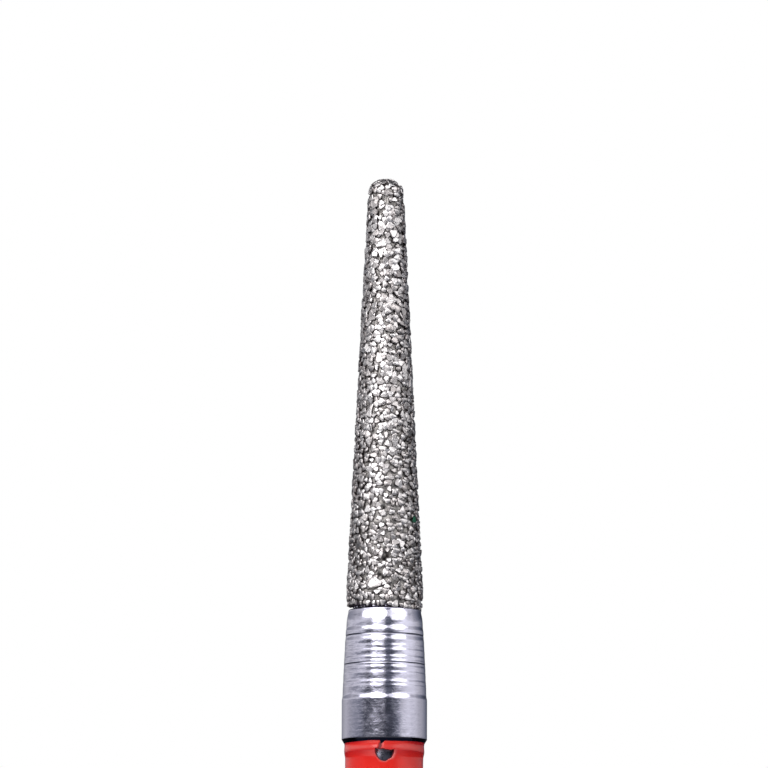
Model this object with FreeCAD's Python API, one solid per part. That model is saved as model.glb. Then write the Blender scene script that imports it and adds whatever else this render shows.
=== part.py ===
# Dental diamond bur for a turbine handpiece: a friction grip shank, a coloured ring in a groove,
# a tapered neck with tool rings, and a round-ended tapered head that carries a coat of bonded grit.
# Millimetres. +Z runs along the axis towards the tip, and the origin is the centre of the shank's
# end face. The chip in the coloured ring faces -Y.
import FreeCAD, Part

import math
import os
import random

# Shank, from its end upwards
SHANK_DIAMETER = 1.60
END_ROUNDING = 0.20
GRIP_LENGTH = 9.50

# Groove for the coloured ring
GROOVE_LENGTH = 1.50
GROOVE_DEPTH = 0.16
FLANK_LENGTH = 0.27

# Coloured ring: a round bead of lacquer against each flank, and a film between that sags a little
LACQUER_THICKNESS = 0.094
LACQUER_SAG = 0.004
BEAD_LENGTH = 0.25
BEAD_RISE = 0.018
BEAD_EDGE = 0.012
CREST_SHARE = 0.35
CHIP_WIDTH = 0.37
CHIP_HEIGHT = 0.24
CHIP_DROP = 0.208
CHIP_SLOPE = 0.03
CRACK_WIDTH = 0.035

# Land and neck
LAND_LENGTH = 0.72
NECK_LENGTH = 1.72
NECK_TOP_DIAMETER = 1.360
SHOULDER_ROUNDING = 0.050
TOOL_RING_PITCH = 0.155
TOOL_RING_DEPTH = 0.012

# Head, measured over the grit
HEAD_LENGTH = 8.20
HEAD_DIAMETER = 1.465
NOSE_DIAMETER = 0.675
NOSE_HEIGHT = 0.265
COAT_THICKNESS = 0.140
EDGE_RISE = 0.095

# Grit
GRAIN_PITCH = 0.108
GRAIN_HEIGHT = 0.045
GRAIN_SHIFT = 0.22
PIT_SHARE = 0.35
PIT_SINK = (0.6, 1.0)
TOP_SINK = (0.0, 0.3)
SEED = 856

# Heights along the axis
groove_bottom_z = GRIP_LENGTH
groove_top_z = groove_bottom_z + GROOVE_LENGTH
land_top_z = groove_top_z + LAND_LENGTH
shoulder_z = land_top_z + NECK_LENGTH
tip_z = shoulder_z + HEAD_LENGTH
nose_z = tip_z - NOSE_HEIGHT

# Radii
shank_radius = SHANK_DIAMETER / 2
groove_radius = shank_radius - GROOVE_DEPTH
lacquer_radius = groove_radius + LACQUER_THICKNESS
neck_top_radius = NECK_TOP_DIAMETER / 2
head_radius = HEAD_DIAMETER / 2
nose_radius = NOSE_DIAMETER / 2
core_base_radius = head_radius - COAT_THICKNESS
core_nose_radius = nose_radius - COAT_THICKNESS
core_nose_height = NOSE_HEIGHT - COAT_THICKNESS


def at(radius, height):
    """A point of a turned outline, in the plane through the axis."""
    return FreeCAD.Vector(radius, 0, height)


def line(start, end):
    return Part.LineSegment(start, end).toShape()


def arc(start, middle, end):
    return Part.Arc(start, middle, end).toShape()


def polyline(points):
    """The straight edges from each point to the next."""
    return [line(a, b) for a, b in zip(points, points[1:])]


def turned(edges):
    """The solid that a closed outline sweeps when it turns once about the axis."""
    face = Part.Face(Part.Wire(edges))
    return face.revolve(FreeCAD.Vector(0, 0, 0), FreeCAD.Vector(0, 0, 1), 360)


def quarter_round(start, end, centre):
    """A round corner from start to end about centre, where both lie one radius away from it."""
    radius = (start - centre).Length
    towards = (start + end) * 0.5 - centre
    return arc(start, centre + towards * (radius / towards.Length), end)


def neck_radius(height):
    """Radius of the neck's straight taper."""
    share = (height - land_top_z) / NECK_LENGTH
    return shank_radius + (neck_top_radius - shank_radius) * share


def tool_rings(bottom, top):
    """The neck's outline from bottom to top: a shallow V for each turn that the tool left."""
    count = max(1, int((top - bottom) / TOOL_RING_PITCH))
    pitch = (top - bottom) / count
    points = []
    for turn in range(count):
        crest = bottom + turn * pitch
        trough = crest + pitch / 2
        points.append(at(neck_radius(crest), crest))
        points.append(at(neck_radius(trough) - TOOL_RING_DEPTH, trough))
    points.append(at(neck_radius(top), top))
    return points


def core_outline():
    """The blank's outline above the shoulder, from the shoulder's inner corner to the apex."""
    base = at(core_base_radius, shoulder_z)
    nose = at(core_nose_radius, nose_z)
    apex = at(0, nose_z + core_nose_height)
    # The cap's sphere passes through the nose circle and the apex.
    ball = (core_nose_radius**2 + core_nose_height**2) / (2 * core_nose_height)
    centre = at(0, nose_z + core_nose_height - ball)
    return [line(base, nose), quarter_round(nose, apex, centre)]


def steel_blank():
    """The turned blank: shank, groove, land, neck and the undersized core that takes the coat."""
    rounding = SHOULDER_ROUNDING
    shoulder_bottom = shoulder_z - rounding
    corner_radius = neck_radius(shoulder_bottom)
    axis_foot = at(0, 0)
    foot = at(shank_radius - END_ROUNDING, 0)
    grip_start = at(shank_radius, END_ROUNDING)
    shank = [
        grip_start,
        at(shank_radius, groove_bottom_z),
        at(groove_radius, groove_bottom_z + FLANK_LENGTH),
        at(groove_radius, groove_top_z - FLANK_LENGTH),
        at(shank_radius, groove_top_z),
    ]
    neck = tool_rings(land_top_z, shoulder_bottom)
    shoulder = at(corner_radius - rounding, shoulder_z)
    core = core_outline()
    edges = [
        line(axis_foot, foot),
        quarter_round(foot, grip_start, at(shank_radius - END_ROUNDING, END_ROUNDING)),
        *polyline(shank + neck),
        quarter_round(neck[-1], shoulder, at(corner_radius - rounding, shoulder_bottom)),
        line(shoulder, at(core_base_radius, shoulder_z)),
        *core,
        line(at(0, nose_z + core_nose_height), axis_foot),
    ]
    return turned(edges)


def grit_rings():
    """Radius and height of each ring of grit vertices on the smooth outline, up to the apex."""
    row_step = GRAIN_PITCH * math.sqrt(3) / 2
    start_z = shoulder_z - row_step
    rows = max(4, round((nose_z - start_z) / row_step))
    taper = (nose_radius - head_radius) / (nose_z - shoulder_z)
    rings = []
    for row in range(rows):
        height = start_z + (nose_z - start_z) * row / rows
        rings.append((head_radius + taper * (height - shoulder_z), height))
    turns = max(3, round(math.hypot(nose_radius, NOSE_HEIGHT) / row_step))
    for turn in range(turns):
        angle = math.pi / 2 * turn / turns
        rings.append((nose_radius * math.cos(angle), nose_z + NOSE_HEIGHT * math.sin(angle)))
    return rings


def grit_vertices(dice):
    """Rings of vertices, each a grain's top or a pit between grains, as (share of a turn, point)."""
    rings = []
    for row, (radius, height) in enumerate(grit_rings()):
        count = max(5, round(2 * math.pi * radius / GRAIN_PITCH))
        ring = []
        for place in range(count):
            share = (place + 0.5 * (row % 2) + dice.uniform(-GRAIN_SHIFT, GRAIN_SHIFT)) / count
            sunk = dice.uniform(*(PIT_SINK if dice.random() < PIT_SHARE else TOP_SINK))
            reach = radius - GRAIN_HEIGHT * sunk
            lift = 0 if row == 0 else dice.uniform(-GRAIN_SHIFT, GRAIN_SHIFT) * GRAIN_PITCH
            angle = 2 * math.pi * share
            point = FreeCAD.Vector(reach * math.cos(angle), reach * math.sin(angle), height + lift)
            ring.append((share, point))
        rings.append(ring)
    return rings


def stitched(lower, upper):
    """Triangles between two rings of points: each step goes to whichever ring's next point is first."""
    triangles = []
    i = j = 0
    while i < len(lower) or j < len(upper):
        a = lower[i % len(lower)][1]
        b = upper[j % len(upper)][1]
        next_low = lower[(i + 1) % len(lower)][0] + (i + 1) // len(lower)
        next_up = upper[(j + 1) % len(upper)][0] + (j + 1) // len(upper)
        if j == len(upper) or (i < len(lower) and next_low <= next_up):
            i += 1
            triangles.append((a, lower[i % len(lower)][1], b))
        else:
            j += 1
            triangles.append((a, upper[j % len(upper)][1], b))
    return triangles


def grit_skin():
    """A closed faceted solid whose outside is the grit, from below the coat's edge to the apex."""
    rings = grit_vertices(random.Random(SEED))
    apex = [(0, at(0, tip_z))]
    triangles = []
    for lower, upper in zip(rings, rings[1:]):
        triangles += stitched(lower, upper)
    top = [point for share, point in rings[-1]]
    for a, b in zip(top, top[1:] + top[:1]):
        triangles.append((a, b, apex[0][1]))
    foot = [point for share, point in rings[0]]
    centre = at(0, foot[0].z)
    for a, b in zip(foot, foot[1:] + foot[:1]):
        triangles.append((b, a, centre))
    shell = Part.Shell([Part.Face(Part.makePolygon([a, b, c, a])) for a, b, c in triangles])
    shell.sewShape()
    return Part.Solid(shell)


def core_void():
    """The core's own form, carried down past the coat's edge, which the coat is cut to fit."""
    taper = (core_nose_radius - core_base_radius) / (nose_z - shoulder_z)
    low_z = shoulder_z - 2 * GRAIN_PITCH
    low = at(core_base_radius + taper * (low_z - shoulder_z), low_z)
    return turned([
        line(at(0, low_z), low),
        line(low, at(core_base_radius, shoulder_z)),
        *core_outline(),
        line(at(0, nose_z + core_nose_height), at(0, low_z)),
    ])


def below_edge():
    """A block whose tilted top is where the coat's lower edge runs: lowest at +X, on the shoulder."""
    reach = 2 * head_radius
    rise = EDGE_RISE / 2
    low = shoulder_z + rise - rise * reach / head_radius
    high = shoulder_z + rise + rise * reach / head_radius
    deep = shoulder_z - 4 * GRAIN_PITCH
    corners = [(-reach, high), (reach, low), (reach, deep), (-reach, deep), (-reach, high)]
    side = Part.makePolygon([FreeCAD.Vector(x, -reach, z) for x, z in corners])
    return Part.Face(side).extrude(FreeCAD.Vector(0, 2 * reach, 0))


def diamond_coat():
    """The coat of bonded grit: the faceted skin, hollowed to fit the core and trimmed at its edge."""
    return grit_skin().cut([core_void(), below_edge()])


def chip():
    """The cutters for the chip in the ring, flat above and round below, and for the crack above it."""
    top_z = groove_top_z - CHIP_DROP
    half = CHIP_WIDTH / 2
    front = -shank_radius

    def spot(x, z):
        return FreeCAD.Vector(x, front, z)

    left = spot(-half, top_z)
    right = spot(half, top_z - CHIP_SLOPE)
    hole = Part.Wire([line(left, right), arc(right, spot(0, top_z - CHIP_HEIGHT), left)])
    crack_foot = -half / 2
    crack_top = groove_top_z + CRACK_WIDTH
    crack = Part.makePolygon([
        spot(crack_foot - CRACK_WIDTH, top_z - CRACK_WIDTH),
        spot(crack_foot + CRACK_WIDTH, top_z - CRACK_WIDTH),
        spot(CRACK_WIDTH / 2, crack_top),
        spot(-CRACK_WIDTH / 2, crack_top),
        spot(crack_foot - CRACK_WIDTH, top_z - CRACK_WIDTH),
    ])
    inward = FreeCAD.Vector(0, shank_radius, 0)
    return [Part.Face(wire).extrude(inward) for wire in (hole, crack)]


def colour_ring():
    """The lacquer ring that fills the groove's floor, with a bead against each flank and one chip."""
    slope = GROOVE_DEPTH / FLANK_LENGTH
    crest = lacquer_radius + BEAD_RISE
    edge = crest - BEAD_EDGE
    climb = (edge - groove_radius) / slope
    floor_bottom = groove_bottom_z + FLANK_LENGTH
    floor_top = groove_top_z - FLANK_LENGTH
    low_edge = at(edge, floor_bottom - climb)
    low_crest = at(crest, low_edge.z + BEAD_LENGTH * CREST_SHARE)
    low_foot = at(lacquer_radius, low_edge.z + BEAD_LENGTH)
    high_edge = at(edge, floor_top + climb)
    high_crest = at(crest, high_edge.z - BEAD_LENGTH * CREST_SHARE)
    high_foot = at(lacquer_radius, high_edge.z - BEAD_LENGTH)
    waist = at(lacquer_radius - LACQUER_SAG, (floor_bottom + floor_top) / 2)
    section = [
        *polyline([at(groove_radius, floor_top), at(groove_radius, floor_bottom), low_edge]),
        arc(low_edge, low_crest, low_foot),
        arc(low_foot, waist, high_foot),
        arc(high_foot, high_crest, high_edge),
        line(high_edge, at(groove_radius, floor_top)),
    ]
    return turned(section).cut(chip())


PIECES = {
    "steel_blank": steel_blank,
    "colour_ring": colour_ring,
    "diamond_coat": diamond_coat,
}


def main():
    os.makedirs("parts", exist_ok=True)
    for name, make in PIECES.items():
        make().exportStep(f"parts/{name}.step")


main()
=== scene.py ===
"""Dental diamond bur, standing on its shank: turned steel blank, red lacquer ring and diamond grit.

Lengths inside the functions are millimetres, and a mesh is turned to metres when it is made. A turned
surface is given by its angle, 0 at -Y (the side with the chip) and positive towards +X, and its height.
"""

import bpy
import numpy as np
from mathutils import Matrix, Vector


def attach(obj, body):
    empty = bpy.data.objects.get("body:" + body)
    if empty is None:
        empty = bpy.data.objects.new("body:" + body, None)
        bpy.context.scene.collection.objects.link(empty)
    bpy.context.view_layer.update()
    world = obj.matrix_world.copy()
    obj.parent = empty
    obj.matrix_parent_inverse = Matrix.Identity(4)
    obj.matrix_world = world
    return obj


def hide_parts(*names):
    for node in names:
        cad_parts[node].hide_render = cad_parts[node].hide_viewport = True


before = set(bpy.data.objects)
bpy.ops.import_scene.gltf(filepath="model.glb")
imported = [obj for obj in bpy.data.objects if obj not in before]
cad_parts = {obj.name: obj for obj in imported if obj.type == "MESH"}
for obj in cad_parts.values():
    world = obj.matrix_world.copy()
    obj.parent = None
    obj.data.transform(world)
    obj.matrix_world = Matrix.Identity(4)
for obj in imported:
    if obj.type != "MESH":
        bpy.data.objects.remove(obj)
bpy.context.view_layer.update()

bl_info = {
    "name": "Dental diamond bur",
    "version": (1, 0, 0),
    "blender": (4, 5, 0),
    "location": "View3D > Sidebar > Bur",
    "description": "Builds a round-ended tapered diamond bur with a coloured ring, and its studio",
    "category": "Add Mesh",
}

MM = 0.001

# Outline of the turned blank, as the CAD model has it, but with a slightly crisper shoulder
SHANK_RADIUS = 0.80
END_ROUNDING = 0.20
GROOVE_LOW = 9.50
GROOVE_HIGH = 11.00
GROOVE_RADIUS = 0.64
FLANK_LENGTH = 0.27
LAND_TOP = 11.72
SHOULDER = 13.44
SHOULDER_ROUNDING = 0.035
NECK_TOP_RADIUS = 0.68
CORE_BASE_RADIUS = 0.5925
CORE_NOSE_RADIUS = 0.1975
CORE_NOSE_HEIGHT = 0.125
CORNER_ROUNDING = 0.006

# Head over the grit, and the rise of the coat's lower edge from +X to -X
HEAD_RADIUS = 0.7325
NOSE_RADIUS = 0.3375
NOSE_START = 21.375
NOSE_HEIGHT = 0.265
EDGE_RISE = 0.095

# Tool rings on the neck: the slope between them, and the height, half-width and extra steepness of
# each bright, up-facing stretch
NECK_SLOPE_BETWEEN = 0.018
TOOL_RINGS = np.array([
    (11.775, 0.036, 1.30),
    (11.981, 0.016, 0.45),
    (12.062, 0.020, 0.78),
    (12.225, 0.018, 0.50),
    (12.335, 0.016, 0.70),
    (12.446, 0.018, 0.55),
    (12.525, 0.016, 0.80),
    (12.650, 0.020, 0.62),
    (12.735, 0.018, 0.40),
    (12.870, 0.036, 0.85),
    (13.060, 0.032, 1.15),
    (13.320, 0.098, 1.16),
])
# Scored lines round the neck: height, half-width and depth
SCORED_LINES = np.array([(12.400, 0.007, 0.004), (12.944, 0.008, 0.005)])

# Nicks in the steel: degrees round from -Y, height, half-width and depth
NICKS = np.array([
    (-9.0, 11.16, 0.035, 0.0018),
    (-4.0, 11.10, 0.025, 0.0015),
    (-11.0, 11.30, 0.030, 0.0013),
    (27.0, 11.06, 0.045, 0.0030),
    (33.0, 11.10, 0.030, 0.0020),
    (-3.0, 11.62, 0.030, 0.0015),
    (-15.0, 10.74, 0.040, 0.0030),
    (-9.0, 10.69, 0.030, 0.0020),
])

# Grains that stand out: degrees round from -Y, radius, height, half-width, stretch, lean up and to the
# left in degrees, and 1 for the green one
NAMED_GRAINS = np.array([
    (-17.0, 0.722, 13.89, 0.142, 1.16, 9.0, 0.0),
    (3.0, 0.724, 13.82, 0.070, 1.22, 9.0, 0.0),
    (-11.7, 0.726, 13.72, 0.072, 1.25, 9.0, 0.0),
    (6.5, 0.706, 14.31, 0.055, 1.00, 9.0, 0.0),
    (1.3, 0.646, 15.54, 0.058, 1.00, 9.0, 0.0),
    (56.0, 0.668, 15.10, 0.073, 0.95, 0.0, 1.0),
])

# Sockets that lost grains have left in the nickel: degrees round from -Y, height and half-width, and
# how deep they all are
SOCKETS = np.array([
    (4.2, 14.40, 0.060),
    (-1.4, 14.34, 0.050),
    (-2.2, 15.31, 0.045),
    (-17.5, 13.72, 0.050),
    (-2.5, 13.99, 0.050),
    (-8.5, 14.05, 0.045),
])
SOCKET_DEPTH = 0.02

# A grain's four rings of six points, from the foot up: size, depth and share of the lean
GRAIN_RINGS = np.array([
    (0.80, 0.95, 0.0),
    (1.00, 0.42, 0.5),
    (0.92, 0.09, 1.0),
    (0.70, 0.00, 1.0),
])
GRAIN_POINTS = 24

# Each bead of the lacquer: where its rise ends and its fall starts, as shares of its length, how far
# its edge lies below its crest, how far from the edge the crease's painted shade and the crest's
# painted highlight are, and the height over which the upper edge creeps up the flank
BEAD_RISE_END = 0.50
BEAD_FALL_START = 0.50
EDGE_DROP = 0.008
CREASE_PLACE = 0.154
SCUFF_AND_HIGHLIGHT_PLACE = 0.095
CREEP_REACH = 0.11
# Places where the edge has crept up further: height, narrowness and angle
CREEPS = np.array([(0.074, 3.0, 0.25), (0.010, 3.0, -1.4), (0.012, 3.0, 1.5)])

# Chip in the lacquer, seen from -Y: x and z of its flat top's ends, the z of its round bottom, and
# the height that its rim is drawn in towards
CHIP_LEFT = (-0.168, 10.792)
CHIP_RIGHT = (0.185, 10.762)
CHIP_BOTTOM = 10.552
CHIP_MIDDLE = 10.70
CHIP_SOFTNESS = 0.012
RIM_SOFTNESS = 0.05
# Half the turn, at the front, that is meshed finely for the chip
FINE_TURN = 0.42
# Crack from the chip's top to the lacquer's edge: x and z of its ends, and its half-width
CRACK_FOOT = (-0.100, 10.78)
CRACK_TOP = (-0.040, 10.93)
CRACK_HALF_WIDTH = 0.034

# Studio round the bur: degrees from the camera, and brightness, of the low cards and of the wall
CARDS = np.array([
    (-180, 0.10), (-163, 0.34), (-127, 0.60), (-106, 0.44), (-76, 0.28), (-56, 0.06), (-33, 0.06),
    (-17, 0.05), (5, 0.03), (26, 0.06), (38, 0.18), (49, 0.60), (68, 0.90), (88, 0.84), (105, 0.60),
    (125, 0.46), (150, 0.20), (180, 0.10),
])
WALL = np.array([
    (-180, 0.10), (-154, 0.58), (-117, 0.90), (-89, 0.92), (-64, 0.90), (-53, 0.80), (-44, 0.70),
    (-36, 0.85), (-29, 0.95), (-6, 0.95), (4, 0.20), (20, 0.18), (26, 0.34), (38, 0.84), (66, 1.24),
    (96, 1.06), (115, 0.64), (133, 0.28), (150, 0.14), (180, 0.08),
])
# The dome's radius, and the height that it and the lamps are centred on, in mm, and the lamps' distance
# in metres
DOME_RADIUS = 600.0
STUDIO_MIDDLE = 17.0
LAMP_DISTANCE = 0.5

# Camera: what it looks at and its distance in mm, its rise and roll in degrees, its focal length in
# pixels of the square image, and its sensor's width in mm
CAMERA_AIM = (-0.026, 0.0, 17.723)
CAMERA_DISTANCE = 125.0
CAMERA_RISE = -7.5
CAMERA_ROLL = 0.17
FOCAL_PIXELS = 6625.7
IMAGE_PIXELS = 768
SENSOR_WIDTH = 36.0


def linear(text):
    """An sRGB hex colour as linear RGBA: each channel c becomes ((c + 0.055) / 1.055) to the 2.4."""
    channels = np.array([int(text[i:i + 2], 16) for i in (1, 3, 5)]) / 255
    curve = np.where(channels <= 0.04045, channels / 12.92, ((channels + 0.055) / 1.055) ** 2.4)
    return (*(float(channel) for channel in curve), 1.0)


def smooth(low, high, value):
    """0 below low, 1 above high, and 3t^2 - 2t^3 between them."""
    share = np.clip((value - low) / (high - low), 0, 1)
    return share * share * (3 - 2 * share)


def bell(value, middle, reach):
    """A bell curve: e to the minus square of the distance from the middle over the reach."""
    return np.exp(-((value - middle) / reach) ** 2)


def mesh_piece(name, points, faces, shade_smooth, attributes, material):
    """A mesh object from points in mm and a list of face arrays, one array for each number of corners.

    attributes maps a name to one value for each point.
    """
    mesh = bpy.data.meshes.new(name)
    corners = np.concatenate([block.ravel() for block in faces]).astype(np.int32)
    sizes = np.concatenate([np.full(len(block), block.shape[1]) for block in faces])
    mesh.vertices.add(len(points))
    mesh.vertices.foreach_set("co", (points * MM).astype(np.float32).ravel())
    mesh.loops.add(len(corners))
    mesh.loops.foreach_set("vertex_index", corners)
    mesh.polygons.add(len(sizes))
    mesh.polygons.foreach_set("loop_start", (np.cumsum(sizes) - sizes).astype(np.int32))
    mesh.polygons.foreach_set("use_smooth", np.full(len(sizes), shade_smooth))
    for title, values in attributes.items():
        layer = mesh.attributes.new(title, "FLOAT", "POINT")
        layer.data.foreach_set("value", values.astype(np.float32).ravel())
    mesh.update(calc_edges=True)
    if mesh.validate():
        raise RuntimeError(f"{name} has faces that Blender had to mend")
    mesh.materials.append(material)
    piece = bpy.data.objects.new(name, mesh)
    bpy.context.scene.collection.objects.link(piece)
    return piece


def around(radius, angle, height):
    """Points in mm from cylinder coordinates: x = r sin a, y = -r cos a, z as it is."""
    return np.stack([radius * np.sin(angle), -radius * np.cos(angle), height + 0 * angle], axis=-1)


def ring_faces(rows, columns):
    """Quads between neighbouring rings of a grid whose columns close on themselves."""
    row, column = np.meshgrid(np.arange(rows - 1), np.arange(columns), indexing="ij")
    here = row * columns + column
    right = row * columns + (column + 1) % columns
    return np.stack([here, right, right + columns, here + columns], axis=-1).reshape(-1, 4)


def pole_faces(ring, columns, pole, outward_up):
    """Triangles from one ring of a grid to a single point on the axis."""
    here = ring + np.arange(columns)
    right = ring + (np.arange(columns) + 1) % columns
    middle = np.full(columns, pole)
    return np.stack([here, right, middle] if outward_up else [right, here, middle], axis=-1)


def turned_faces(rows, columns):
    """Faces of a closed turned surface: the grid's quads, and a fan to each of two last points."""
    low = pole_faces(0, columns, rows * columns, False)
    high = pole_faces((rows - 1) * columns, columns, rows * columns + 1, True)
    return [ring_faces(rows, columns), np.concatenate([low, high])]


def filleted(corners, rounding, steps):
    """A polyline in (radius, height) whose inner corners are replaced by arcs of the given radius.

    The arc starts and ends rounding * tan(turn / 2) before and after the corner. Its points are the
    start and end vectors from its centre, blended by sines of the turn, so that they stay on the arc.
    """
    corners = np.array(corners, dtype=float)
    line = [corners[:1]]
    for before, corner, after in zip(corners, corners[1:], corners[2:]):
        into = (corner - before) / np.linalg.norm(corner - before)
        out = (after - corner) / np.linalg.norm(after - corner)
        turn = np.arccos(np.clip(into @ out, -1, 1))
        reach = rounding * np.tan(turn / 2)
        start = corner - into * reach
        end = corner + out * reach
        towards = (out - into) / np.linalg.norm(out - into)
        centre = corner + towards * rounding / np.cos(turn / 2)
        share = np.linspace(0, 1, steps)[:, None]
        fan = (np.sin((1 - share) * turn) * (start - centre) + np.sin(share * turn) * (end - centre))
        line.append(centre + fan / np.sin(turn))
    return np.concatenate([*line, corners[-1:]])


def resampled(line, spacing):
    """The same polyline with points added so that none of its steps is longer than spacing."""
    steps = np.linalg.norm(np.diff(line, axis=0), axis=1)
    count = np.maximum(1, np.ceil(steps / spacing)).astype(int)
    place = np.repeat(np.arange(len(count)), count)
    share = (np.arange(count.sum()) - (np.cumsum(count) - count)[place]) / count[place]
    points = line[place] + (line[place + 1] - line[place]) * share[:, None]
    return np.concatenate([points, line[-1:]])


def neck_line():
    """Radius and height up the neck.

    The outline's slope is small between rings and steep at each ring, where it follows a bell curve
    of the height. Its running sum is the radius, scaled to end at the shoulder. A scored line takes a
    narrow bell away from the radius.
    """
    height = np.linspace(LAND_TOP, SHOULDER - SHOULDER_ROUNDING, 300)
    spot, half_width, strength = TOOL_RINGS.T[:, :, None]
    bells = (strength * bell(height, spot, half_width)).sum(axis=0)
    fall = (SHANK_RADIUS - NECK_TOP_RADIUS) / (SHOULDER - LAND_TOP) * (height[-1] - height[0])
    step = height[1] - height[0]
    flat = NECK_SLOPE_BETWEEN * (height - height[0])
    climb = np.concatenate([[0], np.cumsum((bells[1:] + bells[:-1]) / 2 * step)])
    radius = SHANK_RADIUS - flat - climb / climb[-1] * (fall - flat[-1])
    spot, half_width, depth = SCORED_LINES.T[:, :, None]
    radius = radius - (depth * bell(height, spot, half_width)).sum(axis=0)
    return np.stack([radius, height], axis=1)


def nose_arc(radius, start, rise, steps):
    """A quarter ellipse from (radius, start) to the axis, rise higher."""
    share = np.linspace(0, np.pi / 2, steps)
    return np.stack([radius * np.cos(share), start + rise * np.sin(share)], axis=1)


def edge_height(angle):
    """Height of the coat's lower edge: a plane that tilts down to +X, with a slight wave."""
    plane = SHOULDER + EDGE_RISE / 2 * (1 - np.sin(angle))
    return plane + 0.007 * np.sin(5 * angle + 1.0) + 0.006 * np.sin(11 * angle + 2.0)


def edge_lift(angle, height):
    """How far the head's points are lifted to follow the coat's lower edge.

    At the edge it is all of the edge's rise, and it fades smoothly to nothing 1 mm above.
    """
    return (edge_height(angle) - SHOULDER) * (1 - smooth(SHOULDER, SHOULDER + 1.0, height))


def head_line(sink):
    """Radius and height of the head's smooth outline, a distance sink below the tops of the grit."""
    side = np.array([(HEAD_RADIUS - sink, SHOULDER), (NOSE_RADIUS - sink, NOSE_START)])
    nose = nose_arc(NOSE_RADIUS - sink, NOSE_START, NOSE_HEIGHT - sink, 24)
    return np.concatenate([side, nose[1:]])


def closed_turning(name, line, columns, relief, attributes, material):
    """The surface that a polyline from axis to axis sweeps in one turn, with a point at each pole.

    relief(angle, height) is added to the radius of every point.
    """
    angle = np.arange(columns) * 2 * np.pi / columns
    radius, height = line[1:-1].T[:, :, None]
    shell = around(radius + relief(angle[None, :], height), angle[None, :], height).reshape(-1, 3)
    poles = np.array([(0, 0, line[0, 1]), (0, 0, line[-1, 1])])
    faces = turned_faces(len(line) - 2, columns)
    values = {}
    for title, rule in attributes.items():
        grid = rule(angle[None, :], height, radius)
        values[title] = np.concatenate([grid.ravel(), np.zeros(2)])
    return mesh_piece(name, np.concatenate([shell, poles]), faces, True, values, material)


def tool_marks(angle, height):
    """Relief of the turned steel: the tool's chatter up the neck, and small dents.

    The chatter is two waves that climb round the neck in opposite directions. Each dent takes a
    bell-shaped hollow out of the radius.
    """
    neck = smooth(LAND_TOP, LAND_TOP + 0.1, height) * (1 - smooth(SHOULDER - 0.15, SHOULDER - 0.06, height))
    chatter = 0.0004 * np.sin(20.3 * height + 5 * angle + 1.0) + 0.0003 * np.sin(33.1 * height - 8 * angle)
    turn, spot, half_width, depth = NICKS.T[:, :, None, None]
    across = GROOVE_RADIUS * ((angle - np.radians(turn) + np.pi) % (2 * np.pi) - np.pi)
    bells = np.exp(-(across ** 2 + (height - spot) ** 2) / half_width ** 2)
    return chatter * neck - (depth * bells).sum(axis=0)


def steel_wear(angle, height, radius):
    """How dull the steel is: most in the rough groove, then on the handled land, least up the neck.

    The land and the groove are smooth bands of the height.
    """
    low = GROOVE_HIGH - 0.01
    land = smooth(low, GROOVE_HIGH + 0.01, height) * (1 - smooth(11.66, 11.74, height))
    groove = smooth(GROOVE_LOW, GROOVE_LOW + 0.02, height) * (1 - smooth(low - 0.03, low, height))
    return 0.15 + 0.68 * land + 3.0 * groove + 0 * angle


def steel_stain_and_shade(angle, height, radius):
    """How dark the steel is, 0 to 1: most on the groove, less in scored lines and under the coat.

    Each is a smooth band of the height. The groove is stained blue-black, and where this shows on its upper
    flank and reaches onto the land's lower edge it is painted shade. The band under the coat is a painted
    shadow that follows the coat's edge. A scored line is painted shade in its hollow, and it fades and
    returns round the neck. A bell-shaped spot of the groove, in the chip, is lighter: bare steel, and a
    painted glint.
    """
    # The groove's blue-black stain. On the upper flank, and past GROOVE_HIGH on the land's lower edge, it
    # is painted shade
    groove = smooth(GROOVE_LOW + 0.01, GROOVE_LOW + 0.05, height)
    groove = groove * (1 - smooth(GROOVE_HIGH - 0.003, GROOVE_HIGH + 0.004, height))
    # A lighter spot in the chip: bare steel there, and a painted glint
    bare_glint = np.exp(-((angle - np.radians(349)) ** 2 + ((height - 10.72) / 0.6) ** 2) / 0.11 ** 2)
    groove = groove * (0.90 - 0.80 * bare_glint + 0.10 * smooth(0.65, 0.70, radius))
    wave = 0.004 * np.sin(3 * angle) + 0.003 * np.sin(7 * angle + 1)
    gap = edge_height(angle) - height + wave
    # Painted shadow of the coat on the steel just under its edge
    shadow_under_coat = 0.18 * (1 - smooth(0.002, 0.014, gap))
    # Painted shade in the hollows of the scored lines
    spot, half_width = SCORED_LINES.T[:2, None, None, :]
    ends = 0.55 + 0.45 * np.sin(2 * angle + 1) ** 2
    lines = bell(height[..., None], spot, 1.2 * half_width).sum(axis=-1) * ends
    return np.clip(np.maximum(np.maximum(groove, shadow_under_coat), 0.75 * lines), 0, 1)


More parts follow.
